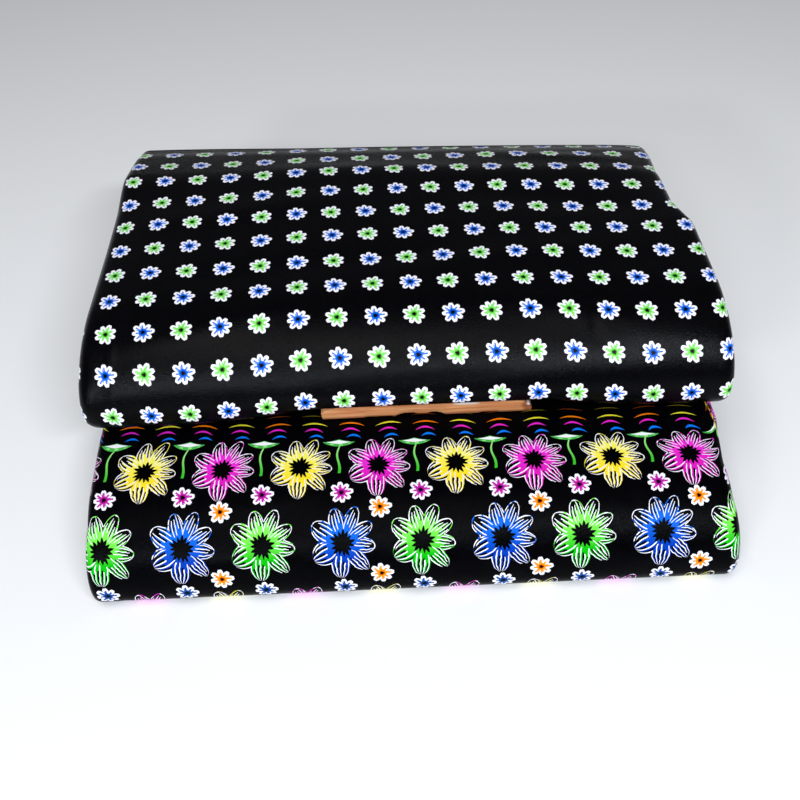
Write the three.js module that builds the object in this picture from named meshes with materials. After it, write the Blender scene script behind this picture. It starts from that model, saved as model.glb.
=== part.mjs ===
// A length of wax print cloth folded into two bundles, the shallower one lying on the deeper one,
// with a plain wooden slat under the front fold of the upper bundle.
// Millimetres. +Z up, +X along the front folds to the right, the rounded front folds face -Y.
// The origin is on the surface the cloth lies on, under the middle of the whole.
import * as THREE from "three";

// Cloth
const CLOTH_WALL = 1.5; // one layer of cloth
const LAYER_GAP = 0.3; // clear space between one layer and the next
const LAYER_STEP = CLOTH_WALL + LAYER_GAP;
const UNDER_CUT_EDGE_GAP = 0.72; // under the layer that is cut short, round the curved right end

// The whole
const TOTAL_LENGTH = 408;
const TOTAL_DEPTH = 360;
const TOTAL_HEIGHT = 125;
const LOWER_HEIGHT = 54;

// Wooden slat
const SLAT = {
  left: -56.8,
  length: 138,
  front: -79.2,
  depth: 26,
  height: 10.5,
  leftRound: 3.5,
  leftRoundUnder: 1.5,
  rightBevel: 6,
  rightPoint: 1.2, // how far the split right end comes to its blunt point
  pointHeight: 4.7,
};
const SLAT_BOTTOM = LOWER_HEIGHT + LAYER_GAP;
const SLAT_LIFT = SLAT.height + LAYER_GAP; // how far the slat lifts the cloth over it

// Lift of the upper bundle's front over the slat, along its length and from front to back.
const LIFT_ALONG = [
  { x: -134, share: 0 },
  { x: -96, share: 0.4 },
  { x: -62, share: 1 },
  { x: 85, share: 1 },
  { x: 118, share: 0.4 },
  { x: 153, share: 0 },
];
const LIFT_BEHIND = [
  { y: SLAT.front + SLAT.depth + 4, share: 1 },
  { y: -5, share: 0 },
];
const SLANT_SHARE = [
  { y: 20, share: 0 },
  { y: 163, share: 1 },
];
const LIFT_LEFT_AT_NOSE_LINE = 0.55; // share of the lift that reaches the foremost line

// Lower bundle. The nose is the rounded front fold: two quarter ellipses, one over the foremost line
// and one under it. The edge tables run from the front to the back; sag is how far the top hangs at
// the very end, and it dies away inward over sagReach.
const LOWER = {
  front: -TOTAL_DEPTH / 2,
  back: 174,
  backSlant: 0,
  bottom: 0,
  top: LOWER_HEIGHT,
  noseLine: 12, // height of the foremost line
  noseReach: 50, // depth of the upper quarter of the nose
  noseUnder: 9, // depth of the lower quarter of the nose
  undercut: 0, // how much hollower than a quarter ellipse the lower quarter is
  edges: [
    { y: -180, left: -198.5, right: 198 },
    { y: -150, left: -198, right: 195.5 },
    { y: -125, left: -200, right: 196 },
    { y: -85, left: -202, right: 204 },
    { y: 174, left: -202, right: 204 },
  ],
  backDrop: [
    { y: 120, drop: 0 },
    { y: 174, drop: 4 },
  ],
  sag: [{ y: -180, left: 2, right: 2 }],
  leftEnd: { sagReach: 25, roundOver: 7, roundUnder: 3, roundFront: 6 },
  rightEnd: { sagReach: 25, roundOver: 9, roundUnder: 3, roundFront: 9 },
  lifted: 0,
  layers: 6,
};

// Upper bundle
const UPPER = {
  front: -95,
  back: 163,
  backSlant: -0.054, // the back edge comes forward to the right
  bottom: LOWER_HEIGHT + LAYER_GAP,
  top: TOTAL_HEIGHT,
  noseLine: 77,
  noseReach: 67,
  noseUnder: 24,
  undercut: 3.6,
  edges: [
    { y: -95, left: -TOTAL_LENGTH / 2, right: 203.5 },
    { y: -30, left: -203.5, right: 202.5 },
    { y: 30, left: -203.5, right: 202 },
    { y: 60, left: -203.5, right: 194.5 },
    { y: 110, left: -204, right: 195 },
    { y: 163, left: -204, right: 199 },
  ],
  backDrop: [
    { y: 102, drop: 0 },
    { y: 127, drop: 5.5 },
    { y: 150, drop: 11 },
    { y: 163, drop: 17 },
  ],
  sag: [
    { y: -95, left: 7, right: 3 },
    { y: 30, left: 8, right: 1 },
    { y: 75, left: 7, right: 4 },
    { y: 110, left: 1, right: 7 },
    { y: 163, left: 1, right: 3 },
  ],
  leftEnd: { sagReach: 28, roundOver: 9, roundUnder: 12, roundFront: 8 },
  rightEnd: { sagReach: 24, roundOver: 9, roundUnder: 8, roundFront: 7 },
  lifted: SLAT_LIFT,
  layers: 8,
};

// How far the lower bundle's outermost layer stops short of its right end, so that the layer under
// it shows there.
const SHORT_OF_RIGHT = [
  { y: -140, short: 0.6 },
  { y: -110, short: 3.3 },
  { y: -95, short: 5.2 },
  { y: -78, short: 9 },
  { y: 174, short: 9 },
];

// The folded edges of the hidden layers
const GROOVE_AT_ENDS = 3.2; // depth of the groove between two folds at the ends
const FOLD_AT_BACK = 6; // how far a fold stands out at the back
const GROOVE_AT_BACK = 1.2;
const FULL_FOLD_PITCH = 2.2; // closer folds than this, towards the nose, are shallower

// Fineness of the walls. The section has as many steps under the foremost line as over it.
const UNDER_PLACES = [155, 110, 55, LIFT_BEHIND[1].y, -29, LIFT_BEHIND[0].y]; // Y, after the back edge
const NOSE_UNDER_STEPS = 5;
const NOSE_OVER_STEPS = 6;
const TOP_STEPS = 6;
const END_STATIONS = [0, 1.2, 3.5, 7, 13, 26];
const MIDDLE_STATIONS = [-152, -134, -96, -62, -26, 11, 48, 85, 118, 153];

const cloth = (colour) =>
  new THREE.MeshStandardMaterial({ color: colour, roughness: 0.55, metalness: 0 });
const MATERIALS = {
  upper_cover: cloth(0x0b0b10),
  upper_layers: cloth(0x15151c),
  lower_cover: cloth(0x0a0a0e),
  lower_second_layer: cloth(0x101016),
  lower_layers: cloth(0x15151c),
  slat: new THREE.MeshStandardMaterial({ color: 0xc98a5e, roughness: 0.7, metalness: 0 }),
};

// Reads a table at a place: rows are ordered by the key column, and the column between two rows is
// straight.
function read(table, key, place, column) {
  const last = table[table.length - 1];
  if (place <= table[0][key]) return table[0][column];
  if (place >= last[key]) return last[column];
  const next = table.findIndex((row) => row[key] >= place);
  const a = table[next - 1];
  const b = table[next];
  return a[column] + ((b[column] - a[column]) * (place - a[key])) / (b[key] - a[key]);
}

// Depth of a quarter round of the given radius, at a distance in from the edge.
function quarterRound(distance, radius) {
  if (distance >= radius) return 0;
  const inside = radius - Math.max(distance, 0);
  return radius - Math.sqrt(radius * radius - inside * inside);
}

// The side section of a bundle's outermost layer, from the back of the underside forward, round the
// nose and back over the top. Each point says how much it follows the top, the underside, the front
// and the lift over the slat.
function section(bundle) {
  const points = [];
  const overHeight = bundle.top - bundle.noseLine;
  const underHeight = bundle.noseLine - bundle.bottom;
  const underFront = bundle.front + bundle.noseUnder;
  const topFront = bundle.front + bundle.noseReach;
  [bundle.back, ...UNDER_PLACES].forEach((y) => {
    const lift = read(LIFT_BEHIND, "y", y, "share");
    points.push({ y, z: bundle.bottom, top: 0, under: 1, front: 0, lift });
  });
  for (let i = 0; i < NOSE_UNDER_STEPS; i += 1) {
    const angle = (Math.PI / 2) * (i / NOSE_UNDER_STEPS);
    const rise = 1 - Math.cos(angle);
    const reach = Math.sin(angle);
    points.push({
      y: underFront - bundle.noseUnder * reach,
      z: bundle.bottom + underHeight * rise + bundle.undercut * Math.sin(2 * angle),
      top: 0,
      under: 1 - rise,
      front: reach,
      lift: 1 - (1 - LIFT_LEFT_AT_NOSE_LINE) * rise,
    });
  }
  for (let i = 0; i < NOSE_OVER_STEPS; i += 1) {
    const angle = (Math.PI / 2) * (i / NOSE_OVER_STEPS);
    const rise = Math.sin(angle);
    const reach = Math.cos(angle);
    points.push({
      y: topFront - bundle.noseReach * reach,
      z: bundle.noseLine + overHeight * rise,
      top: rise,
      under: 0,
      front: reach,
      lift: LIFT_LEFT_AT_NOSE_LINE * (1 - rise) * (1 - rise),
    });
  }
  const flatBack = bundle.backDrop[0].y;
  const flatSteps = TOP_STEPS - bundle.backDrop.length + 1;
  for (let i = 0; i <= TOP_STEPS; i += 1) {
    const y =
      i <= flatSteps
        ? topFront + ((flatBack - topFront) * i) / flatSteps
        : bundle.backDrop[i - flatSteps].y;
    points.push({
      y,
      z: bundle.top - read(bundle.backDrop, "y", y, "drop"),
      top: 1,
      under: 0,
      front: 0,
      lift: 0,
    });
  }
  return points;
}

// Where a bundle ends at the left or the right, at a section point's depth.
function edgeAt(bundle, q, side) {
  return read(bundle.edges, "y", q.y, side);
}

// A point of a bundle's outermost surface: its section point q at x, with the ends sagging and
// rounded over, the back edge slanted, and the front lifted over the slat.
function placed(bundle, q, x) {
  const ends = [
    { distance: x - edgeAt(bundle, q, "left"), end: bundle.leftEnd, side: "left" },
    { distance: edgeAt(bundle, q, "right") - x, end: bundle.rightEnd, side: "right" },
  ];
  let { y, z } = q;
  y += bundle.backSlant * x * read(SLANT_SHARE, "y", q.y, "share");
  ends.forEach(({ distance, end, side }) => {
    const sag = read(bundle.sag, "y", q.y, side) * Math.exp(-Math.max(distance, 0) / end.sagReach);
    z -= q.top * (sag + quarterRound(distance, end.roundOver));
    z += q.under * quarterRound(distance, end.roundUnder);
    y += q.front * quarterRound(distance, end.roundFront);
  });
  z += q.lift * bundle.lifted * read(LIFT_ALONG, "x", x, "share");
  return new THREE.Vector3(x, y, z);
}

// The grid of a bundle's outermost surface: one row for each station along X, from the left end to
// the right end less what is cut short there.
function surfaceGrid(bundle, shortOfRight = () => 0) {
  const points = section(bundle);
  const stationCount = END_STATIONS.length * 2 + MIDDLE_STATIONS.length;
  const rows = [];
  for (let station = 0; station < stationCount; station += 1) {
    rows.push(
      points.map((q) => {
        const left = edgeAt(bundle, q, "left");
        const right = edgeAt(bundle, q, "right") - shortOfRight(q);
        const fromRight = stationCount - 1 - station;
        let x = MIDDLE_STATIONS[station - END_STATIONS.length];
        if (station < END_STATIONS.length) x = left + END_STATIONS[station];
        if (fromRight < END_STATIONS.length) x = right - END_STATIONS[fromRight];
        return placed(bundle, q, x);
      }),
    );
  }
  return rows;
}

// The same grid moved inward along its normals.
function movedIn(grid, distance) {
  const clamp = (value, most) => Math.min(Math.max(value, 0), most);
  return grid.map((row, i) =>
    row.map((point, j) => {
      const along = grid[clamp(i + 1, grid.length - 1)][j]
        .clone()
        .sub(grid[clamp(i - 1, grid.length - 1)][j]);
      const round = row[clamp(j + 1, row.length - 1)]
        .clone()
        .sub(row[clamp(j - 1, row.length - 1)]);
      const inward = round.cross(along).normalize();
      return point.clone().addScaledVector(inward, distance);
    }),
  );
}

// Collects triangles and gives them as a mesh's geometry.
class Surface {
  constructor() {
    this.corners = [];
  }

  triangle(a, b, c) {
    [a, b, c].forEach((p) => this.corners.push(p.x, p.y, p.z));
  }

  quad(a, b, c, d) {
    this.triangle(a, b, c);
    this.triangle(a, c, d);
  }

  // A grid of quads. Turned over, its faces point the other way and keep the same diagonals.
  grid(rows, turned = false) {
    for (let i = 0; i + 1 < rows.length; i += 1)
      for (let j = 0; j + 1 < rows[i].length; j += 1) {
        const [a, b, c, d] = [rows[i][j], rows[i + 1][j], rows[i + 1][j + 1], rows[i][j + 1]];
        if (turned) this.quad(a, d, c, b);
        else this.quad(a, b, c, d);
      }
  }

  geometry() {
    const geometry = new THREE.BufferGeometry();
    geometry.setAttribute("position", new THREE.Float32BufferAttribute(this.corners, 3));
    geometry.computeVertexNormals();
    return geometry;
  }
}

// One layer of cloth as a wall between two surfaces, closed along its four edges.
function wallGeometry(outer, inner) {
  const wall = new Surface();
  const lastRow = outer.length - 1;
  const lastPoint = outer[0].length - 1;
  wall.grid(outer);
  wall.grid(inner, true);
  wall.grid([inner[0], outer[0]]);
  wall.grid([outer[lastRow], inner[lastRow]]);
  wall.grid([outer.map((row) => row[0]), inner.map((row) => row[0])]);
  wall.grid([inner.map((row) => row[lastPoint]), outer.map((row) => row[lastPoint])]);
  return wall.geometry();
}

// The hidden layers of a bundle as one solid: its nose, top and underside are the given surface, and
// its ends and back show the folded edges of the layers as ridges with grooves between them.
function layersGeometry(skin, layerCount) {
  const solid = new Surface();
  const levels = layerCount * 2;
  const lastPoint = skin[0].length - 1;
  const middlePoint = lastPoint / 2;
  solid.grid(skin);

  // Points up a line from the underside to the top: a fold at each odd level, a groove at each even
  // one. side is -1 at the left end, 1 at the right end and 0 between them.
  const upright = (row, pair, side) => {
    const low = row[pair];
    const high = row[lastPoint - pair];
    const share = Math.min(1, low.distanceTo(high) / levels / FULL_FOLD_PITCH);
    const line = [];
    for (let level = 0; level <= levels; level += 1) {
      const point = low.clone().lerp(high, level / levels);
      const atEdge = level === 0 || level === levels;
      const fold = level % 2 === 1;
      if (!atEdge && !fold) point.x -= side * GROOVE_AT_ENDS * share;
      if (!atEdge && pair === 0) point.y += fold ? FOLD_AT_BACK : GROOVE_AT_BACK;
      line.push(point);
    }
    return line;
  };

  const endFace = (row, side) => {
    const lines = [];
    for (let pair = 0; pair < middlePoint; pair += 1)
      lines.push(upright(row, pair, side));
    const tip = row[middlePoint];
    lines.push(lines[0].map(() => tip));
    const turned = side > 0;
    for (let i = 0; i + 1 < lines.length; i += 1)
      for (let level = 0; level < levels; level += 1) {
        const ring = [lines[i][level], lines[i + 1][level], lines[i + 1][level + 1], lines[i][level + 1]];
        if (turned) ring.reverse();
        if (lines[i + 1][0] === tip)
          solid.triangle(...ring.filter((point, k) => k === ring.indexOf(point)));
        else solid.quad(...ring);
      }
  };
  endFace(skin[0], -1);
  endFace(skin[skin.length - 1], 1);

  const backLines = skin.map((row, i) => {
    let side = 0;
    if (i === 0) side = -1;
    if (i === skin.length - 1) side = 1;
    return upright(row, 0, side);
  });
  solid.grid(backLines, true);
  return solid.geometry();
}

// The slat: its front outline drawn in X and Z, run back by its depth.
function slatGeometry() {
  const { length, height, leftRound, leftRoundUnder, rightBevel, rightPoint, pointHeight } = SLAT;
  const outline = new THREE.Shape();
  outline.moveTo(leftRoundUnder, 0);
  outline.lineTo(length - rightPoint, 0);
  outline.lineTo(length, pointHeight);
  outline.lineTo(length - rightBevel, height);
  outline.lineTo(leftRound, height);
  outline.absarc(leftRound, height - leftRound, leftRound, Math.PI / 2, Math.PI, false);
  outline.absarc(leftRoundUnder, leftRoundUnder, leftRoundUnder, Math.PI, Math.PI * 1.5, false);
  const geometry = new THREE.ExtrudeGeometry(outline, {
    depth: SLAT.depth,
    bevelEnabled: false,
    curveSegments: 6,
  });
  geometry.rotateX(Math.PI / 2);
  return geometry;
}

function named(name, geometry) {
  const mesh = new THREE.Mesh(geometry, MATERIALS[name]);
  mesh.name = name;
  return mesh;
}

// Upper bundle: the outermost layer and the layers in it
function upperBundle() {
  const skin = surfaceGrid(UPPER);
  const group = new THREE.Group();
  group.add(named("upper_cover", wallGeometry(skin, movedIn(skin, CLOTH_WALL))));
  group.add(named("upper_layers", layersGeometry(movedIn(skin, LAYER_STEP), UPPER.layers)));
  return group;
}

// Lower bundle: the outermost layer, cut short at the right, the layer under it, and the rest
function lowerBundle() {
  const whole = surfaceGrid(LOWER);
  const cutShort = (q) => q.top * read(SHORT_OF_RIGHT, "y", q.y, "short");
  const coverSkin = surfaceGrid(LOWER, cutShort);
  const second = CLOTH_WALL + UNDER_CUT_EDGE_GAP;
  const group = new THREE.Group();
  group.add(named("lower_cover", wallGeometry(coverSkin, movedIn(coverSkin, CLOTH_WALL))));
  group.add(
    named("lower_second_layer", wallGeometry(movedIn(whole, second), movedIn(whole, second + CLOTH_WALL))),
  );
  group.add(named("lower_layers", layersGeometry(movedIn(whole, second + LAYER_STEP), LOWER.layers)));
  return group;
}

const slat = named("slat", slatGeometry());
slat.position.set(SLAT.left, SLAT.front + SLAT.depth, SLAT_BOTTOM);

const fabric = new THREE.Group();
fabric.add(upperBundle(), lowerBundle(), slat);
export default fabric;
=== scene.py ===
import math

import bpy
import numpy as np
from mathutils import Matrix, Vector


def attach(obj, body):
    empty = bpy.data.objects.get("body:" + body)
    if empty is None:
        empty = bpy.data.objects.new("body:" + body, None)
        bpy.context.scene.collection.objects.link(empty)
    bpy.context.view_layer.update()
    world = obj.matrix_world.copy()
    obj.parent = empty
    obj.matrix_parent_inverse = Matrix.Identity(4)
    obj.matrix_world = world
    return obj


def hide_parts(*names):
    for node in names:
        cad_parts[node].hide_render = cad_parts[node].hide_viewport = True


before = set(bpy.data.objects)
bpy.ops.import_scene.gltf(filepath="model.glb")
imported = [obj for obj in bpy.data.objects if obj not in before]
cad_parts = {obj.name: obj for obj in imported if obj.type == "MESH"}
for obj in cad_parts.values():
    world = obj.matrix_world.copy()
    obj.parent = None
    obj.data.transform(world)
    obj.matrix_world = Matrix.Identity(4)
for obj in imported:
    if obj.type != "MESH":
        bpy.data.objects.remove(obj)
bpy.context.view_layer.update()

MM = 0.001
PITCH = 24.0  # from one column of small flowers to the next, along the cloth
CLOTH_THICKNESS = 0.9
SECOND_LAYER_IN = 2.22  # from the lower bundle's outermost surface to the layer under it
UPPER_LAYERS_IN = 1.4
LOWER_LAYERS_IN = 3.57
SLAT_LIFT = 10.8
SLAT = {"left": -56.8, "length": 138, "front": -79.2, "depth": 26, "bottom": 54.3, "height": 10.5}

# The two bundles, as in the solids. nose_line is the height of the foremost line; the nose is a
# quarter ellipse over it and one under it. Edges and sags are (y, left, right).
LOWER = {
    "front": -180.0,
    "back": 174.0,
    "back_slant": 0.0,
    "bottom": 0.0,
    "top": 54.0,
    "nose_line": 12.0,
    "nose_reach": 50.0,
    "nose_under": 9.0,
    "undercut": 0.0,
    "edges": [
        (-180, -198.5, 198),
        (-150, -198, 195.5),
        (-125, -200, 196),
        (-85, -202, 204),
        (174, -202, 204),
    ],
    "back_drop": [(120, 0), (174, 4)],
    "sag": [(-180, 2, 2)],
    "left_end": {"reach": 25, "over": 7, "under": 3, "front": 6},
    "right_end": {"reach": 25, "over": 9, "under": 3, "front": 9},
    "lifted": 0.0,
}
UPPER = {
    "front": -95.0,
    "back": 163.0,
    "back_slant": -0.054,
    "bottom": 54.3,
    "top": 125.0,
    "nose_line": 77.0,
    "nose_reach": 67.0,
    "nose_under": 24.0,
    "undercut": 3.6,
    "edges": [
        (-95, -204, 203.5),
        (-30, -203.5, 202.5),
        (30, -203.5, 202),
        (60, -203.5, 194.5),
        (110, -204, 195),
        (163, -204, 199),
    ],
    "back_drop": [(102, 0), (127, 5.5), (150, 11), (163, 17)],
    "sag": [(-95, 7, 3), (30, 8, 1), (75, 7, 4), (110, 1, 7), (163, 1, 3)],
    "left_end": {"reach": 28, "over": 9, "under": 12, "front": 8},
    "right_end": {"reach": 24, "over": 9, "under": 8, "front": 7},
    "lifted": SLAT_LIFT,
}
LIFT_ALONG = [(-134, 0), (-96, 0.4), (-62, 1), (85, 1), (118, 0.4), (153, 0)]
LIFT_BEHIND = [(-53, 1), (-5, 0)]
LIFT_AT_NOSE_LINE = 0.55
SLANT_SHARE = [(20, 0), (163, 1)]
# How far the lower bundle's outermost layer stops short of its right end
SHORT_OF_RIGHT = [(-140, 0.6), (-110, 3.3), (-95, 5.2), (-78, 9), (174, 9)]


def read(table, place, column=1):
    """A table's column at a place, straight between its rows."""
    rows = np.array(table, float)
    return np.interp(place, rows[:, 0], rows[:, column])


def quarter_round(distance, radius):
    """How far a quarter round of that radius drops, at a distance in from the edge."""
    inside = np.clip(radius - np.maximum(distance, 0), 0, radius)
    return radius - np.sqrt(radius**2 - inside**2)


def smoothed(values, reach):
    """The values with each one the mean of those within reach places of it."""
    padded = np.concatenate([[values[0]] * reach, values, [values[-1]] * reach])
    kernel = np.ones(2 * reach + 1) / (2 * reach + 1)
    return np.convolve(padded, kernel, mode="valid")


def section(bundle, under_steps=44, nose_steps=16, over_steps=34, top_steps=84):
    """The side section of a bundle's outermost layer, from the back of the underside forward, round
    the nose and back over the top, with the share by which each point follows the top, the
    underside, the front and the lift over the slat."""
    under_front = bundle["front"] + bundle["nose_under"]
    top_front = bundle["front"] + bundle["nose_reach"]
    over = bundle["top"] - bundle["nose_line"]
    under = bundle["nose_line"] - bundle["bottom"]

    flat_y = np.linspace(bundle["back"], under_front, under_steps, endpoint=False)
    ones, zeros = np.ones(under_steps), np.zeros(under_steps)
    parts = [[flat_y, ones * bundle["bottom"], zeros, ones, zeros, read(LIFT_BEHIND, flat_y)]]

    angle = np.linspace(0, math.pi / 2, nose_steps, endpoint=False)
    rise, reach = 1 - np.cos(angle), np.sin(angle)
    parts.append(
        [
            under_front - bundle["nose_under"] * reach,
            bundle["bottom"] + under * rise + bundle["undercut"] * np.sin(2 * angle),
            rise * 0,
            1 - rise,
            reach,
            1 - (1 - LIFT_AT_NOSE_LINE) * rise,
        ]
    )

    angle = np.linspace(0, math.pi / 2, over_steps, endpoint=False)
    rise, reach = np.sin(angle), np.cos(angle)
    parts.append(
        [
            top_front - bundle["nose_reach"] * reach,
            bundle["nose_line"] + over * rise,
            rise,
            rise * 0,
            reach,
            LIFT_AT_NOSE_LINE * (1 - rise) ** 2,
        ]
    )

    top_y = np.linspace(top_front, bundle["back"], top_steps)
    ones, zeros = np.ones(top_steps), np.zeros(top_steps)
    drop = smoothed(read(bundle["back_drop"], top_y), 3)
    parts.append([top_y, bundle["top"] - drop, ones, zeros, zeros, zeros])
    names = ("y", "z", "top", "under", "front", "lift")
    return {name: np.concatenate([part[i] for part in parts]) for i, name in enumerate(names)}


def stations(count=150, close=(0, 0.4, 1.0, 1.8, 2.8, 4.0, 5.4, 7.0, 9.0)):
    """Shares of the way from the left end to the right end, and millimetres in from each end."""
    last = close[-1]
    inner = np.linspace(0, 1, count)
    left = [(0.0, distance) for distance in close]
    middle = [(share, last * (1 - 2 * share)) for share in inner[1:-1]]
    right = [(1.0, -distance) for distance in reversed(close)]
    return np.array(left + middle + right)


def surface(bundle, q, short=None):
    """The grid of a bundle's outermost surface, stations by section points, in millimetres."""
    left = read(bundle["edges"], q["y"], 1)
    true_right = read(bundle["edges"], q["y"], 2)
    right = true_right if short is None else true_right - q["top"] * read(short, q["y"])
    ends = stations()
    x = left + (right - left) * ends[:, :1] + ends[:, 1:]
    y = q["y"] + bundle["back_slant"] * x * read(SLANT_SHARE, q["y"])
    z = q["z"] + 0 * x
    sides = ((x - left, "left_end", 1), (true_right - x, "right_end", 2))
    for distance, end, column in sides:
        rounds = bundle[end]
        inward = np.maximum(distance, 0)
        sag = read(bundle["sag"], q["y"], column) * np.exp(-inward / rounds["reach"])
        z = z - q["top"] * (sag + quarter_round(distance, rounds["over"]))
        z = z + q["under"] * quarter_round(distance, rounds["under"])
        y = y + q["front"] * quarter_round(distance, rounds["front"])
    z = z + q["lift"] * bundle["lifted"] * read(LIFT_ALONG, x)
    return np.stack([x, y, z], axis=-1)


def outward(grid):
    """The grid's normals."""
    along = np.gradient(grid, axis=0)
    around = np.gradient(grid, axis=1)
    normal = np.cross(along, around)
    return normal / np.maximum(np.linalg.norm(normal, axis=-1, keepdims=True), 1e-9)


def arc(grid, axis):
    """The length run along an axis of the grid, from its start."""
    steps = np.linalg.norm(np.diff(grid, axis=axis), axis=-1)
    start = np.zeros_like(np.take(steps, [0], axis=axis))
    return np.cumsum(np.concatenate([start, steps], axis=axis), axis=axis)


# Soft troughs and ridges in the cloth, each a line from one place to another in cloth
# millimetres: along X, and run from the foremost line of the nose, minus under it. Height is out
# of the cloth, and width is from the middle of the crease to where it has died away.
UPPER_CREASES = [
    {"start": (-179, -25), "end": (-182, 66), "width": 2.2, "height": 0.9},
    {"start": (-188, -20), "end": (-189, 40), "width": 2.4, "height": -0.6},
    {"start": (118, 5), "end": (116, 66), "width": 3.5, "height": -0.7},
    {"start": (-200, 36), "end": (-60, 74), "width": 16, "height": 1.5},
    {"start": (30, 70), "end": (196, 40), "width": 15, "height": 1.3},
    {"start": (-150, 100), "end": (40, 118), "width": 20, "height": -1.2},
    {"start": (-20, 96), "end": (180, 128), "width": 18, "height": 1.0},
    {"start": (-190, 168), "end": (-30, 186), "width": 18, "height": 1.1},
    {"start": (20, 190), "end": (190, 160), "width": 20, "height": -1.0},
    {"start": (-120, 232), "end": (60, 222), "width": 15, "height": 1.0},
    {"start": (60, 252), "end": (180, 236), "width": 12, "height": 0.9},
    {"start": (-60, 12), "end": (70, 16), "width": 10, "height": -0.8},
]
LOWER_CREASES = [
    {"start": (-150, 20), "end": (-70, 26), "width": 10, "height": 1.0},
    {"start": (-110, 38), "end": (-40, 60), "width": 12, "height": -0.8},
    {"start": (40, 34), "end": (130, 50), "width": 12, "height": 0.9},
    {"start": (120, 12), "end": (186, 22), "width": 9, "height": 0.8},
    {"start": (-30, 78), "end": (90, 70), "width": 12, "height": -0.7},
    {"start": (-190, 70), "end": (-120, 84), "width": 10, "height": 0.8},
]


def creased(grid, creases):
    """The grid with its creases, and the cloth's run from the foremost line, in millimetres."""
    run = arc(grid, 1)
    foremost = int(np.argmin(np.mean(grid[:, :, 1], axis=0)))
    run = run - run[:, foremost : foremost + 1]
    out = np.zeros(run.shape)
    for crease in creases:
        (x0, v0), (x1, v1) = crease["start"], crease["end"]
        length2 = (x1 - x0) ** 2 + (v1 - v0) ** 2
        share = ((grid[:, :, 0] - x0) * (x1 - x0) + (run - v0) * (v1 - v0)) / length2
        near = np.clip(share, 0, 1)
        off = np.hypot(grid[:, :, 0] - x0 - near * (x1 - x0), run - v0 - near * (v1 - v0))
        tapered = np.sin(math.pi * np.clip(share, 0, 1)) ** 0.7
        out += crease["height"] * np.exp(-((off / crease["width"]) ** 2) * 2) * tapered
    return grid + outward(grid) * out[:, :, None], run


def mesh_piece(name, points, faces, uvs, material, smooth=True):
    """A mesh of points in millimetres, with a cloth UV for each point."""
    mesh = bpy.data.meshes.new(name)
    mesh.from_pydata((np.asarray(points) * MM).tolist(), [], [list(map(int, f)) for f in faces])
    layer = mesh.uv_layers.new(name="cloth")
    corners = np.zeros(len(mesh.loops), np.int32)
    mesh.loops.foreach_get("vertex_index", corners)
    layer.data.foreach_set("uv", np.asarray(uvs, np.float32)[corners].ravel())
    mesh.materials.append(material)
    piece = bpy.data.objects.new(name, mesh)
    bpy.context.scene.collection.objects.link(piece)
    mesh.polygons.foreach_set("use_smooth", [smooth] * len(mesh.polygons))
    return piece


def grid_faces(rows, columns, first=0, turned=False):
    """Quads over a grid of points."""
    i, j = np.meshgrid(np.arange(rows - 1), np.arange(columns - 1), indexing="ij")
    a = first + i * columns + j
    quads = np.stack([a, a + columns, a + columns + 1, a + 1], axis=-1).reshape(-1, 4)
    return quads[:, ::-1] if turned else quads


def cloth_shell(name, grid, u, v, material, from_edge=None):
    """One layer of cloth: a thin shell whose outer side is the grid. from_edge is how far each
    point is from the edge at the right, in millimetres."""
    rows, columns = grid.shape[:2]
    uvs = np.stack([u, v], axis=-1).reshape(-1, 2)
    piece = mesh_piece(
        name, grid.reshape(-1, 3), grid_faces(rows, columns), uvs, material
    )
    if from_edge is not None:
        rim = piece.data.uv_layers.new(name="rim")
        corners = np.zeros(len(piece.data.loops), np.int32)
        piece.data.loops.foreach_get("vertex_index", corners)
        rim.data.foreach_set("uv", np.repeat(from_edge.ravel()[corners], 2).astype(np.float32))
    wall = piece.modifiers.new("cloth wall", "SOLIDIFY")
    wall.thickness = CLOTH_THICKNESS * MM
    wall.offset = -1
    return piece


# Print layout
# The small flowers of the upper bundle lie in even rows, a little askew to the front fold.
FIRST_ROW_AT = (-95, 81.4)  # y and z of the foremost row, on the nose
ROW_PITCH = 1.135  # from one row to the next along the cloth, in column pitches
FIRST_ROW_SHIFT = 0.26  # in columns
ROW_SLANT = -0.052  # columns that each row is shifted past the one in front of it
FIRST_COLUMN = 7.7  # columns from the first one to x = -5
MIDDLE_COLUMN = 7.6
# Border of the lower bundle: heights in pitches from the row of arcs, minus to the front
ARCS_AT = (-87.7, 54.0)
# How far each height of the border stands back at three places along it, and how wide it runs
BORDER_FIT = [
    {"v": -6, "left": 0.05, "middle": 0, "right": -0.04, "wide": 1.0},
    {"v": -3.5, "left": 0.053, "middle": 0, "right": -0.04, "wide": 1.0},
    {"v": -2.25, "left": 0.068, "middle": 0, "right": -0.1, "wide": 1.004},
    {"v": -1.45, "left": 0.12, "middle": 0, "right": 0.01, "wide": 1.011},
    {"v": -0.7, "left": 0.18, "middle": 0, "right": -0.14, "wide": 1.007},
    {"v": -0.3, "left": 0.3, "middle": -0.06, "right": -0.06, "wide": 0.992},
]


def run_at(q, run, y, z):
    """The cloth's run at a place of the section."""
    middle = run.shape[0] // 2
    nearest = np.argmin(np.hypot(q["y"] - y, q["z"] - z) + 1000 * (q["under"] > 0.97))
    return run[middle, nearest]


def columns_of(grid):
    """The cloth's run along X from x = -5, in pitches."""
    along = arc(grid, 0)
    x = grid[:, :, 0]
    here = np.array([np.interp(-5, x[:, j], along[:, j]) for j in range(x.shape[1])])
    return (along - here) / PITCH + FIRST_COLUMN


def flower_uv(q, grid, run):
    """u in columns and v in rows of the small flowers."""
    v = (run - run_at(q, run, *FIRST_ROW_AT)) / (ROW_PITCH * PITCH)
    return columns_of(grid) - FIRST_ROW_SHIFT - ROW_SLANT * v, v


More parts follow.
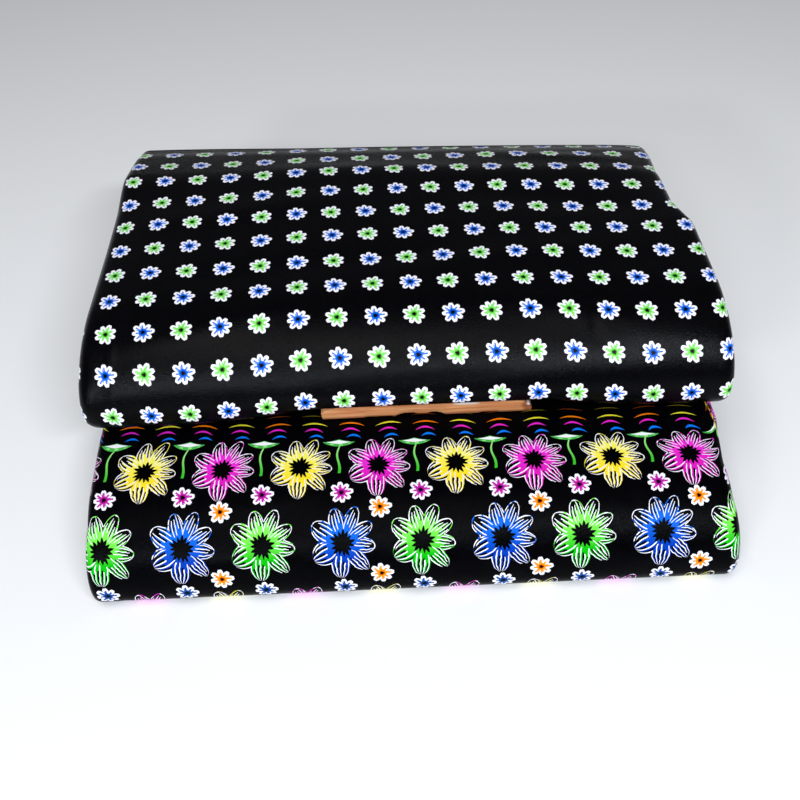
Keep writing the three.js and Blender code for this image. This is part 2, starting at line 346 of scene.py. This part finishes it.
def border_uv(q, grid, run):
    """u in columns and v in pitches back from the row of arcs."""
    v = (run - run_at(q, run, *ARCS_AT)) / PITCH
    heights = [row["v"] for row in BORDER_FIT]
    left, middle, right, wide = (
        np.interp(v, heights, [row[name] for row in BORDER_FIT])
        for name in ("left", "middle", "right", "wide")
    )
    u = columns_of(grid)
    share = u / 15
    u = (u - MIDDLE_COLUMN) / wide + MIDDLE_COLUMN
    return u, v - left * (1 - share) - right * share - 4 * middle * share * (1 - share)


class Number:
    """A number in a material's nodes, so that a pattern can be written as a formula."""

    def __init__(self, nodes, socket):
        self.nodes = nodes
        self.socket = socket

    def _do(self, operation, *others, flip=False):
        values = [self, *others]
        if flip:
            values.reverse()
        return self.nodes.math(operation, *values)

    def __add__(self, other):
        return self._do("ADD", other)

    def __sub__(self, other):
        return self._do("SUBTRACT", other)

    def __rsub__(self, other):
        return self._do("SUBTRACT", other, flip=True)

    def __mul__(self, other):
        return self._do("MULTIPLY", other)

    def __truediv__(self, other):
        return self._do("DIVIDE", other)

    def __pow__(self, other):
        return self._do("POWER", other)

    __radd__ = __add__
    __rmul__ = __mul__

    def __lt__(self, other):
        return self._do("LESS_THAN", other)

    def __gt__(self, other):
        return self._do("GREATER_THAN", other)

    def __and__(self, other):
        return self._do("MULTIPLY", other)

    def __or__(self, other):
        return self._do("MAXIMUM", other)

    def most(self, other):
        return self._do("MAXIMUM", other)

    def size(self):
        return self._do("ABSOLUTE")

    def root(self):
        return self._do("SQRT")

    def floor(self):
        return self._do("FLOOR")

    def part(self):
        return self._do("FRACT")

    def sine(self):
        return self._do("SINE")


class Nodes:
    """Short calls that build one material's nodes."""

    def __init__(self, name):
        self.material = bpy.data.materials.new(name)
        self.material.use_nodes = True
        self.tree = self.material.node_tree
        self.shader = self.tree.nodes["Principled BSDF"]

    def add(self, kind, **settings):
        node = self.tree.nodes.new(kind)
        for key, value in settings.items():
            setattr(node, key, value)
        return node

    def put(self, value, socket):
        """Links or sets a socket."""
        if isinstance(value, Number):
            value = value.socket
        if isinstance(value, bpy.types.NodeSocket):
            self.tree.links.new(value, socket)
        else:
            socket.default_value = value

    def math(self, operation, *values):
        node = self.add("ShaderNodeMath", operation=operation)
        for value, socket in zip(values, node.inputs):
            self.put(value, socket)
        return Number(self, node.outputs[0])

    def mix(self, mask, under, over):
        """A colour over another where the mask is 1."""
        node = self.add("ShaderNodeMix", data_type="RGBA")
        self.put(mask, node.inputs["Factor"])
        sockets = [s for s in node.inputs if s.type == "RGBA"]
        for value, socket in zip((under, over), sockets):
            self.put(value if not isinstance(value, tuple) else (*value, 1.0), socket)
        return next(s for s in node.outputs if s.type == "RGBA")

    def cloth_place(self):
        """The two numbers of the cloth's own UV map."""
        source = self.add("ShaderNodeUVMap", uv_map="cloth")
        split = self.add("ShaderNodeSeparateXYZ")
        self.tree.links.new(source.outputs[0], split.inputs[0])
        return Number(self, split.outputs[0]), Number(self, split.outputs[1]), source.outputs[0]

    def object_place(self):
        return self.add("ShaderNodeTexCoord").outputs["Object"]

    def scaled(self, vector, scale):
        node = self.add("ShaderNodeMapping")
        self.put(vector, node.inputs["Vector"])
        node.inputs["Scale"].default_value = scale
        return node.outputs[0]

    def noise(self, vector, scale, detail=2.0, roughness=0.5):
        node = self.add("ShaderNodeTexNoise")
        self.put(vector, node.inputs["Vector"])
        node.inputs["Scale"].default_value = scale
        node.inputs["Detail"].default_value = detail
        node.inputs["Roughness"].default_value = roughness
        return Number(self, node.outputs[0])

    def spread(self, value, low, high, new_low, new_high):
        """A number's range stretched to another one, clamped."""
        node = self.add("ShaderNodeMapRange")
        for each, socket in zip((value, low, high, new_low, new_high), node.inputs):
            self.put(each, socket)
        return Number(self, node.outputs[0])

    def bump(self, height, strength, distance, after=None):
        node = self.add("ShaderNodeBump")
        node.inputs["Strength"].default_value = strength
        node.inputs["Distance"].default_value = distance
        self.put(height, node.inputs["Height"])
        if after is not None:
            self.put(after, node.inputs["Normal"])
        return node.outputs[0]


def colour(red, green, blue):
    """A screen colour from 0 to 255 as the shader's own."""
    values = (c / 255 for c in (red, green, blue))
    return tuple(v / 12.92 if v <= 0.04045 else ((v + 0.055) / 1.055) ** 2.4 for v in values)


GROUND = colour(4, 4, 7)
DEEP_BLACK = colour(2, 2, 3)
PETAL_WHITE = colour(246, 244, 253)
PETAL_SHADE = colour(205, 200, 232)
STROKE_BLUE = (colour(5, 100, 215), colour(0, 70, 170))
STROKE_GREEN = (colour(125, 215, 95), colour(70, 165, 45))
STROKE_PURPLE = (colour(190, 30, 160), colour(140, 15, 120))
STROKE_ORANGE = (colour(250, 145, 10), colour(235, 100, 0))
STROKE_DEEP_BLUE = (colour(10, 75, 150), colour(5, 40, 90))
BIG_YELLOW = (colour(246, 236, 95), colour(250, 224, 40))
BIG_MAGENTA = (colour(235, 45, 208), colour(220, 30, 185))
BIG_GREEN = (colour(120, 228, 80), colour(10, 180, 10))
BIG_BLUE = (colour(15, 100, 215), colour(5, 58, 170))
ARC_YELLOW = colour(248, 236, 55)
ARC_ORANGE = colour(255, 130, 10)
ARC_MAGENTA = colour(235, 40, 200)
ARC_BLUE = colour(10, 120, 240)
# Darker copies of the arc colours: painted shade on the printed dashes under the upper bundle's nose
SHADED_YELLOW = colour(110, 98, 20)
SHADED_ORANGE = colour(115, 50, 8)
STEM_LIGHT = colour(150, 228, 125)
STEM_GREEN = colour(60, 190, 45)
SAUCER_GREEN = colour(70, 178, 75)


def small_flower(n, under, a, b, radius, strokes, turn, boldness=1.0):
    """A white flower of eight notched petals, with a coloured stroke up each petal and a dark star
    in the middle. a and b run from its middle, in pitches."""
    petals = 8
    r = (a * a + b * b).root() / radius
    turns = n.math("ARCTAN2", b, a) * (petals / (2 * math.pi)) + turn
    which = (turns.floor() * 2.3 + turn * 5).sine()
    side = turns.part() - 0.5
    off = side.size()
    notch = (1 - off * 8).most(0) * 0.07
    edge = which * 0.05 + 1.0 - (off * 2) ** 1.8 * 0.38 - notch
    shaded = n.mix(n.spread(r, 0.3, 0.9, 0.3, 0.0), PETAL_WHITE, PETAL_SHADE)
    under = n.mix(r < edge, under, shaded)
    middle = ((off * r) < 0.095 * boldness) & (r < (which * 0.1 + 0.7))
    beside = (((side - 0.34).size() * r) < 0.05 * boldness) & (r < 0.6) & (which > -0.3)
    under = n.mix(middle | beside, under, strokes[0])
    under = n.mix(r < (off * 0.2 + 0.3), under, strokes[0])
    under = n.mix(r < (0.27 - off * 0.1), under, strokes[1])
    return n.mix(r < (0.21 - off * 0.16 + which * 0.03), under, DEEP_BLACK)


def big_flower(n, under, a, b, colours, grain):
    """A large flower of eight hatched petals round a jagged dark middle. The upper ones have a
    thin white outline, and the lower ones end in loose strokes."""
    petals, across, up = 8, 0.9, 1.0
    x = a / across + (grain - 0.5) * 0.04
    y = b / up + (grain - 0.5) * 0.03
    r = (x * x + y * y).root()
    angle = n.math("ARCTAN2", y, x)
    turns = angle * (petals / (2 * math.pi)) - 0.134 + (angle - 0.589).sine() * 0.355
    petal = turns.floor()
    off = turns.part() - 0.5
    lateral = off * r * (2 * math.pi / petals)
    low = n.spread(y, -0.1, -0.35, 0, 1)
    reach = 0.96 + (petal * 2.1).sine() * 0.05 - low * 0.02
    along = (r - reach * 0.6) / (reach * 0.4)
    half = (1 - along * along).most(0.0001).root() * 0.25
    q = lateral / half
    inside = (q.size() < 1) & (r < reach) | (r < 0.5)
    rim = (1 - q.size()) * half
    outline = (rim < 0.028) & (r > 0.62) | (r > (reach - 0.03)) & (r < reach)
    stripe = q * 2.5 + (petal * 1.7).sine() * 0.5 + (grain - 0.5) * 0.25
    phase = stripe.part()
    wander = (stripe.floor() * 4.3 + petal * 2.9).sine()
    tone = n.mix(n.spread(b, 0.25, -0.35, 0, 1), *colours)
    white_stroke = (phase < 0.24) & (r > wander * 0.11 + 0.41)
    drawn = n.mix(white_stroke, tone, PETAL_WHITE)
    end = wander * 0.1 + 0.74 + low * 0.16
    gap = (phase > 0.54) & (r > wander * 0.09 + 0.53) | (r > end + (phase < 0.24) * 0.08)
    drawn = n.mix(gap, drawn, DEEP_BLACK)
    white_line = (grain + wander * 0.06) > 0.46
    drawn = n.mix(outline & (low < 0.5), drawn, n.mix(white_line, tone, PETAL_WHITE))
    under = n.mix(inside, under, drawn)
    spike = ((angle * (15 / (2 * math.pi))).part() - 0.5).size()
    jag = (angle * 5 + 1).sine() * 0.03
    return n.mix(r < (spike * -0.26 + 0.35 + jag), under, DEEP_BLACK)


def arcs(n, under, u, v):
    """Four curved dashes, one under the other, in each column; the topmost is painted darker, as
    painted shade under the upper bundle's nose.
    """
    column = u.floor()
    tilt = (column * 1.9 + 0.5).sine() * 0.12
    odd = (column * 0.5).part() > 0.25
    bright = n.mix(odd, ARC_ORANGE, ARC_YELLOW)
    # Each dash: shift, height, half length, rise, thickness, colour. The first is printed, and its
    # darker colour is painted shade under the upper bundle's nose.
    dashes = (
        (0.0, 0.31, 0.36, 0.05, 0.016, n.mix(odd, SHADED_ORANGE, SHADED_YELLOW)),
        (0.02, 0.0, 0.36, 0.1, 0.028, bright),
        (0.0, -0.22, 0.26, 0.12, 0.034, ARC_MAGENTA),
        (0.08, -0.44, 0.2, 0.09, 0.034, ARC_BLUE),
    )
    for shift, up, half, rise, thick, paint in dashes:
        a = u.part() - 0.5 - shift
        share = a / half
        curve = 1 - share * share
        off = v - up - curve * rise - a * tilt + rise * 0.5
        mask = (off.size() < curve * thick) & (share.size() < 1)
        under = n.mix(mask, under, paint)
    return under


def saucer(n, under, a, b):
    """A flat flower seen from the side, white over a green bowl, on a curved stem."""
    half = 0.42
    share = (a / half).size()
    lift = share * share * 0.05
    stem_middle = (b * 5.6 + 0.4).sine() * 0.05 + b * 0.05 + 0.04
    stem_half = n.spread(b, -0.1, -1.0, 0.018, 0.036)
    stem = ((a - stem_middle).size() < stem_half) & (b < -0.03) & (b > -1.02)
    under = n.mix(stem, under, n.mix(n.spread(b, -0.2, -0.9, 0, 1), STEM_LIGHT, STEM_GREEN))
    level = b - lift
    peak = (1 - share).most(0) ** 1.2 * 0.13 + 0.01
    bowl = (level < peak) & (level > (share * share * 0.09 - 0.09)) & (share < 1)
    under = n.mix(bowl, under, SAUCER_GREEN)
    white = (level > (share * 0.04 - 0.005)) & (level < peak * 0.85) & (share < 0.8)
    under = n.mix(white, under, PETAL_WHITE)
    folds = ((a * 26).sine() > 0.3) & (level < -0.012) & (level > (share * 0.05 - 0.07))
    return n.mix(folds & (share < 0.75), under, STEM_LIGHT)


def repeated(u, at, every):
    """Pitches from the nearest middle of a motif that comes back every so many columns."""
    return ((u - at) / every + 0.5).part() * every - every / 2


def flower_ground(n, under, u, v):
    """Rows of small flowers, blue and green in turn."""
    row = (v + 0.5).floor()
    column = (u + 0.5).floor()
    a = u - column
    b = (v - row) * ROW_PITCH
    odd = ((row + column) * 0.5).part() > 0.25
    turn = n.math("MULTIPLY", odd, 0.35)
    light = n.mix(odd, STROKE_GREEN[0], STROKE_BLUE[0])
    dark = n.mix(odd, STROKE_GREEN[1], STROKE_BLUE[1])
    boldness = 1.15 - odd * 0.3
    return small_flower(n, under, a, b, 0.31, (light, dark), turn, boldness)


def border(n, under, u, v, grain):
    """The border: arcs, saucers on stems, two rows of large flowers, and small ones between."""
    under = arcs(n, under, u + 0.16, v)
    under = saucer(n, under, repeated(u, 0.03, 2), v + 0.67)
    for at, rows in ((1.06, (-1.45, -5.75)), (3.06, (-1.45, -5.75))):
        magenta = at > 2
        for height in rows:
            flip = magenta != (height < -3)
            paint = BIG_MAGENTA if flip else BIG_YELLOW
            under = big_flower(n, under, repeated(u, at, 4), v - height, paint, grain)
    for at, paint in ((0.1, BIG_GREEN), (2.1, BIG_BLUE)):
        under = big_flower(n, under, repeated(u, at, 4), v + 3.58, paint, grain)
    smalls = (
        (0.11, 2, -2.25, STROKE_PURPLE),
        (3.07, 4, -2.68, STROKE_ORANGE),
        (3.05, 4, -4.42, STROKE_ORANGE),
        (0.11, 2, -4.86, STROKE_DEEP_BLUE),
    )
    for at, every, height, paint in smalls:
        a = repeated(u, at, every)
        under = small_flower(n, under, a, v - height, 0.305, paint, 0.35, 1.1)
    return under


def cloth_finish(n, printed, place, gloss=0.06):
    """Cotton with a waxed sheen: fine threads both ways, a mottled gloss and a soft bump."""
    across = n.add("ShaderNodeTexWave", wave_type="BANDS", bands_direction="X")
    down = n.add("ShaderNodeTexWave", wave_type="BANDS", bands_direction="Y")
    for wave in (across, down):
        n.put(place, wave.inputs["Vector"])
        wave.inputs["Scale"].default_value = 9.5
        wave.inputs["Distortion"].default_value = 0.6
    weave = Number(n, across.outputs["Fac"]) * Number(n, down.outputs["Fac"])
    speckle = n.noise(place, 28.0, 1.0, 0.6)
    broad = n.noise(place, 0.35, 3.0)
    roughness = n.spread(speckle * 0.6 + broad * 0.4, 0.35, 0.65, 0.2, 0.3)
    n.put(printed, n.shader.inputs["Base Color"])
    n.put(roughness, n.shader.inputs["Roughness"])
    fine = n.bump(weave, 0.25, 0.00012)
    rough = n.bump(speckle, 0.6, 0.0003, fine)
    n.put(n.bump(broad, 0.5, 0.0012, rough), n.shader.inputs["Normal"])
    n.shader.inputs["Specular IOR Level"].default_value = gloss
    return n.material


def ground_cloth():
    n = Nodes("printed_cloth_ground")
    u, v, place = n.cloth_place()
    mottle = n.noise(place, 3.0, 3.0)
    base = n.mix(n.spread(mottle, 0.3, 0.7, 0, 1), GROUND, DEEP_BLACK)
    return cloth_finish(n, flower_ground(n, base, u, v), place)


def border_cloth():
    n = Nodes("printed_cloth_border")
    u, v, place = n.cloth_place()
    mottle = n.noise(place, 3.0, 3.0)
    grain = n.noise(place, 7.0, 1.0)
    base = n.mix(n.spread(mottle, 0.3, 0.7, 0, 1), GROUND, DEEP_BLACK)
    printed = border(n, base, u, v, grain)
    rim = n.add("ShaderNodeSeparateXYZ")
    n.tree.links.new(n.add("ShaderNodeUVMap", uv_map="rim").outputs[0], rim.inputs[0])
    from_edge = Number(n, rim.outputs[0])
    dash = v * 9 + (grain - 0.5) * 4
    dashed = (from_edge < (grain * 2 - 0.1)) & (dash.part() < 0.55) & (v > -0.8)
    paint = n.mix((dash.floor() * 2.2).sine() > 0.2, ARC_YELLOW, ARC_ORANGE)
    return cloth_finish(n, n.mix(dashed, printed, paint), place, 0.02)


def layer_cloth():
    """The folded edges of the hidden layers, which show slices of the same print."""
    n = Nodes("printed_cloth_layers")
    u, v, place = n.cloth_place()
    mottle = n.noise(place, 3.0, 3.0)
    base = n.mix(n.spread(mottle, 0.3, 0.7, 0, 1), GROUND, DEEP_BLACK)
    return cloth_finish(n, flower_ground(n, base, u, v), place)


GROUND_CLOTH = ground_cloth()
BORDER_CLOTH = border_cloth()
LAYER_CLOTH = layer_cloth()


# The bundles' outermost layers
upper_q = section(UPPER)
upper_grid, upper_run = creased(surface(UPPER, upper_q), UPPER_CREASES)
upper_cover = cloth_shell(
    "upper_cover_cloth", upper_grid, *flower_uv(upper_q, upper_grid, upper_run), GROUND_CLOTH
)

lower_q = section(LOWER)
lower_whole = surface(LOWER, lower_q)
lower_grid, lower_run = creased(surface(LOWER, lower_q, SHORT_OF_RIGHT), LOWER_CREASES)
lower_cover = cloth_shell(
    "lower_cover_cloth",
    lower_grid,
    *border_uv(lower_q, lower_grid, lower_run),
    BORDER_CLOTH,
    lower_grid[-1:, :, 0] - lower_grid[:, :, 0],
)
second_grid = lower_whole - outward(lower_whole) * SECOND_LAYER_IN
SECOND_LAYER_PRINT = (-1.0, -1.75)  # how far its print lies from the cover's, in pitches
second_u, second_v = border_uv(lower_q, second_grid, arc(second_grid, 1))
lower_second = cloth_shell(
    "lower_second_cloth",
    second_grid,
    second_u + SECOND_LAYER_PRINT[0],
    second_v + SECOND_LAYER_PRINT[1],
    BORDER_CLOTH,
    np.full(second_u.shape, PITCH),
)


# The folded edges of the hidden layers
POINTS_PER_FOLD = 6


def fold_levels(count, seed):
    """Heights from 0 to 1 through a stack of folds, with how far each point stands back into a
    groove, and which fold it belongs to."""
    draw = np.random.default_rng(seed)
    thick = draw.uniform(0.75, 1.3, count)
    tops = np.concatenate([[0], np.cumsum(thick)]) / thick.sum()
    levels, grooves, folds = [0.0], [1.0], [0]
    for fold in range(count):
        for k in range(1, POINTS_PER_FOLD + 1):
            share = k / POINTS_PER_FOLD
            levels.append(tops[fold] + (tops[fold + 1] - tops[fold]) * share)
            grooves.append(1 - math.sin(math.pi * share) ** 0.55)
            folds.append(fold)
    return np.array(levels), np.array(grooves), np.array(folds)


def folded_layers(name, skin, count, seed, groove, back_out, material):
    """One closed mesh under the cover: its nose, top and underside follow the skin, and its ends
    and back are the rounded folds of a stack of layers."""
    draw = np.random.default_rng(seed + 1)
    levels, grooves, folds = fold_levels(count, seed)
    stations_count, last = skin.shape[0], skin.shape[1] - 1
    middle = last // 2
    end_out = draw.uniform(-0.9, 0.0, (2, count))
    back_wave = draw.uniform(-1.8, 0.6, (count, 7))
    points, uvs, faces = [], [], []

    def upright(row, pair, side, share_along):
        low, high = row[pair], row[last - pair]
        span = np.linalg.norm(high - low)
        room = min(1.0, span / (count * 1.6))
        line = low + (high - low) * levels[:, None]
        inner = (levels > 0) & (levels < 1)
        if side:
            depth = (grooves * groove - end_out[(side + 1) // 2][folds]) * room
            line[:, 0] -= side * np.where(inner, depth, 0)
        if pair == 0:
            ripple = np.array([np.interp(share_along * 6, range(7), back_wave[f]) for f in folds])
            out = (1 - grooves) * back_out + ripple * (1 - grooves)
            line[:, 1] += np.where(inner, out, 0)
        return line

    def add_grid(lines, u, v, turned):
        first = len(points)
        rows = np.array(lines)
        points.extend(rows.reshape(-1, 3))
        uvs.extend(np.stack([u, v], axis=-1).reshape(-1, 2))
        faces.extend(grid_faces(rows.shape[0], rows.shape[1], first, turned))

    run = arc(skin, 1) / PITCH
    along = arc(skin, 0) / PITCH
    add_grid(skin, along, run, False)
    fold_shift = draw.uniform(0, 4, count)
    for side, row in ((-1, skin[0]), (1, skin[-1])):
        lines = [upright(row, pair, side, (side + 1) / 2) for pair in range(middle + 1)]
        across = np.array([run[0, min(pair, last)] for pair in range(middle + 1)])
        u = across[:, None] + fold_shift[folds][None, :]
        v = folds[None, :] * 0.37 + grooves[None, :] * 0.15 + 0 * across[:, None]
        add_grid(lines, u, v, side < 0)
    lines = []
    for i in range(stations_count):
        side = -1 if i == 0 else (1 if i == stations_count - 1 else 0)
        lines.append(upright(skin[i], 0, side, i / (stations_count - 1)))
    u = along[:, :1] + fold_shift[folds][None, :]
    v = folds[None, :] * 0.41 + grooves[None, :] * 0.15 + 0 * along[:, :1]
    add_grid(lines, u, v, True)
    piece = mesh_piece(name, points, faces, uvs, material)
    joined(piece)
    return piece


def joined(piece):
    """Joins the points that lie together, and turns the faces outward."""
    bpy.ops.object.select_all(action="DESELECT")
    piece.select_set(True)
    bpy.context.view_layer.objects.active = piece
    bpy.ops.object.mode_set(mode="EDIT")
    bpy.ops.mesh.select_all(action="SELECT")
    bpy.ops.mesh.remove_doubles(threshold=0.00001)
    bpy.ops.mesh.normals_make_consistent(inside=False)
    bpy.ops.object.mode_set(mode="OBJECT")
    piece.select_set(False)


UPPER_FOLDS = {"count": 22, "seed": 5}
LOWER_FOLDS = {"count": 15, "seed": 8}
FOLD_GROOVE = 2.6  # depth of the groove between two folds at the ends
FOLDS_OUT_AT_BACK = 5.0
coarse = {"under_steps": 26, "nose_steps": 8, "over_steps": 17, "top_steps": 42}
upper_coarse = surface(UPPER, section(UPPER, **coarse))
upper_layers = folded_layers(
    "upper_layers_cloth",
    upper_coarse - outward(upper_coarse) * UPPER_LAYERS_IN,
    groove=FOLD_GROOVE,
    back_out=FOLDS_OUT_AT_BACK,
    material=LAYER_CLOTH,
    **UPPER_FOLDS,
)
lower_coarse = surface(LOWER, section(LOWER, **coarse))
lower_layers = folded_layers(
    "lower_layers_cloth",
    lower_coarse - outward(lower_coarse) * LOWER_LAYERS_IN,
    groove=FOLD_GROOVE,
    back_out=FOLDS_OUT_AT_BACK,
    material=LAYER_CLOTH,
    **LOWER_FOLDS,
)

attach(upper_cover, "root")
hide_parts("upper_cover")
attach(lower_cover, "root")
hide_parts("lower_cover")
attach(lower_second, "root")
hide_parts("lower_second_layer")
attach(upper_layers, "root")
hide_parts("upper_layers")
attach(lower_layers, "root")
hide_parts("lower_layers")


def slat_finish():
    n = Nodes("slat_wood")
    place = n.object_place()
    fibres = n.noise(n.scaled(place, (30.0, 900.0, 1100.0)), 1.0, 5.0, 0.6)
    broad = n.noise(n.scaled(place, (24.0, 200.0, 260.0)), 1.0, 3.0)
    split = n.add("ShaderNodeSeparateXYZ")
    n.tree.links.new(place, split.inputs[0])
    x = Number(n, split.outputs[0]) / MM
    z = Number(n, split.outputs[2]) / MM - SLAT["bottom"]
    base = n.mix(n.spread(fibres, 0.35, 0.65, 0, 1), colour(220, 140, 84), colour(250, 186, 130))
    base = n.mix(n.spread(broad, 0.42, 0.62, 0, 0.6), base, colour(200, 114, 60))
    # Painted shade: the slat is painted darker towards its underside, up to a wavering line
    painted_shade_low = n.spread(z + broad * 3, 3.6, 2.2, 0, 0.75)
    base = n.mix(painted_shade_low, base, colour(150, 76, 40))
    split_end = n.spread(x + broad * 6, 76.5, 79, 0, 1) * n.spread(fibres, 0.4, 0.6, 0.4, 1)
    base = n.mix(split_end, base, colour(104, 46, 26))
    # Painted highlights: a pale streak along part of the top edge and a pale patch at the upper corner
    # of the split end
    painted_highlight_top = n.spread(z, 8.0, 8.7, 0, 1) * n.spread(x, 28, 33, 0, 1) * n.spread(x, 47, 43, 0, 1)
    painted_highlight_corner = n.spread(x, 76.5, 77.5, 0, 1) * n.spread(z, 5.4, 6.2, 0, 1)
    base = n.mix(painted_highlight_top.most(painted_highlight_corner), base, colour(238, 226, 216))
    n.put(base, n.shader.inputs["Base Color"])
    n.put(n.spread(fibres, 0.3, 0.7, 0.45, 0.65), n.shader.inputs["Roughness"])
    n.put(n.bump(fibres, 0.5, 0.0003), n.shader.inputs["Normal"])
    return n.material


def picked(piece, left, right, at_top, at_front):
    """Selects the points of the slat between two places along it, on its top or underside, at
    its front or, when at_front is false, anywhere across it."""
    bpy.ops.mesh.select_all(action="DESELECT")
    bpy.ops.object.mode_set(mode="OBJECT")
    middle = SLAT["bottom"] + SLAT["height"] / 2
    for point in piece.data.vertices:
        x, y, z = point.co / MM
        level = (z > middle) == at_top
        point.select = left < x < right and level and (y < SLAT["front"] + 2 or not at_front)
    bpy.ops.object.mode_set(mode="EDIT")


# Small moves of the slat's points: rounded left corner, worn top, chipped underside, split end
SLAT_MOVES = [
    {"left": -58, "right": -56, "at_top": True, "at_front": False, "move": (0.2, 0, -4.9)},
    {"left": -56, "right": -53, "at_top": True, "at_front": False, "move": (-1.0, 0, -3.0)},
    {"left": -52, "right": -50, "at_top": True, "at_front": False, "move": (0, 0, -2.2)},
    {"left": -49, "right": -47, "at_top": True, "at_front": False, "move": (0, 0, -1.2)},
    {"left": -58, "right": -56, "at_top": False, "at_front": False, "move": (0.9, 0, 0)},
    {"left": -46, "right": -30, "at_top": True, "at_front": True, "move": (0, 0.3, -0.3)},
    {"left": -28, "right": -9, "at_top": False, "at_front": True, "move": (0, 0.4, 0.3)},
    {"left": -6, "right": 22, "at_top": False, "at_front": True, "move": (0, 1.0, 0.9)},
    {"left": -3, "right": 4, "at_top": False, "at_front": True, "move": (0, 0.4, 0.6)},
    {"left": 13, "right": 19, "at_top": False, "at_front": True, "move": (0, 0.4, 0.6)},
    {"left": 48, "right": 60, "at_top": False, "at_front": True, "move": (0, 0.4, 0.4)},
    {"left": 72, "right": 76, "at_top": True, "at_front": False, "move": (0, 0, -1.4)},
    {"left": 76, "right": 79, "at_top": True, "at_front": False, "move": (0, 0, -3.4)},
    {"left": 80, "right": 82, "at_top": True, "at_front": False, "move": (0, 0, -6.6)},
    {"left": 80, "right": 82, "at_top": False, "at_front": False, "move": (-0.9, 0, 0)},
]


def wooden_slat():
    bpy.ops.object.select_all(action="DESELECT")
    bpy.ops.mesh.primitive_grid_add(x_subdivisions=46, y_subdivisions=6, size=1)
    piece = bpy.context.object
    piece.name = "wooden_slat"
    bpy.ops.object.mode_set(mode="EDIT")
    bpy.ops.mesh.select_all(action="SELECT")
    length, depth = SLAT["length"], SLAT["depth"]
    middle = (SLAT["left"] + length / 2, SLAT["front"] + depth / 2, SLAT["bottom"])
    bpy.ops.transform.resize(value=(length * MM, depth * MM, 1))
    bpy.ops.transform.translate(value=[value * MM for value in middle])
    up = {"value": (0, 0, SLAT["height"] * MM)}
    bpy.ops.mesh.extrude_region_move(TRANSFORM_OT_translate=up)
    bpy.ops.mesh.select_all(action="SELECT")
    bpy.ops.mesh.normals_make_consistent(inside=False)
    for row in SLAT_MOVES:
        picked(piece, row["left"], row["right"], row["at_top"], row["at_front"])
        bpy.ops.transform.translate(value=[value * MM for value in row["move"]])
    bpy.ops.object.mode_set(mode="OBJECT")
    edges = piece.modifiers.new("worn edges", "BEVEL")
    edges.width = 0.7 * MM
    edges.segments = 3
    edges.limit_method = "ANGLE"
    bpy.ops.object.modifier_apply(modifier=edges.name)
    bpy.ops.object.shade_smooth_by_angle(angle=math.radians(40))
    piece.data.materials.append(slat_finish())
    piece.select_set(False)
    return piece


slat = wooden_slat()
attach(slat, "root")
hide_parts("slat")


# Floor, lights and camera
def floor_finish():
    n = Nodes("studio_floor")
    n.shader.inputs["Base Color"].default_value = (0.9, 0.9, 0.9, 1)
    n.shader.inputs["Roughness"].default_value = 0.9
    return n.material


bpy.ops.object.select_all(action="DESELECT")
bpy.ops.mesh.primitive_plane_add(size=8, location=(0, 0, -0.0002))
floor = bpy.context.object
floor.name = "studio_floor"
floor.data.materials.append(floor_finish())

world = bpy.data.worlds.new("studio")
world.use_nodes = True
world.node_tree.nodes["Background"].inputs["Color"].default_value = (0.95, 0.97, 1.0, 1)
world.node_tree.nodes["Background"].inputs["Strength"].default_value = 0.17
bpy.context.scene.world = world

KEY_COLOUR = (1.0, 0.99, 0.98)
BAND_COLOUR = (0.86, 0.92, 1.0)
BAND_HIGH = 0.1
LIGHTS_AIM_AT = (0, 0, 0.06)
LIGHTS = [
    {"name": "key", "at": (-0.2, -0.6, 1.8), "wide": 1.3, "high": 1.1, "power": 14},
    {"name": "far_left_band", "at": (-0.75, -1.45, 0.76), "wide": 0.35, "high": BAND_HIGH, "power": 7},
    {"name": "left_band", "at": (-0.3, -1.38, 0.98), "wide": 0.4, "high": BAND_HIGH, "power": 6},
    {"name": "right_band", "at": (0.53, -1.15, 1.2), "wide": 0.6, "high": BAND_HIGH, "power": 14},
]
for row in LIGHTS:
    data = bpy.data.lights.new(row["name"], "AREA")
    data.shape = "RECTANGLE"
    data.energy = row["power"]
    data.size = row["wide"]
    data.size_y = row["high"]
    data.color = BAND_COLOUR if row["high"] == BAND_HIGH else KEY_COLOUR
    light = bpy.data.objects.new(row["name"], data)
    light.location = row["at"]
    aim = Vector(LIGHTS_AIM_AT) - light.location
    light.rotation_euler = aim.to_track_quat("-Z", "Y").to_euler()
    bpy.context.scene.collection.objects.link(light)

# The camera stands at the photo's angle: degrees turned to the right of +Y, tipped down, rolled.
CAMERA = {"at": (-8.77, -515.08, 504.87), "turned": 0.49, "down": 44.97, "rolled": -2.15}
camera_data = bpy.data.cameras.new("camera")
camera_data.sensor_width = 36
camera_data.lens = 43.34
camera = bpy.data.objects.new("camera", camera_data)
turn = Matrix.Rotation(math.radians(-CAMERA["turned"]), 4, "Z")
tip = Matrix.Rotation(math.radians(90 - CAMERA["down"]), 4, "X")
roll = Matrix.Rotation(math.radians(CAMERA["rolled"]), 4, "Z")
camera.matrix_world = Matrix.Translation(Vector(CAMERA["at"]) * MM) @ turn @ tip @ roll
bpy.context.scene.collection.objects.link(camera)
bpy.context.scene.camera = camera
bpy.context.scene.view_settings.view_transform = "Standard"
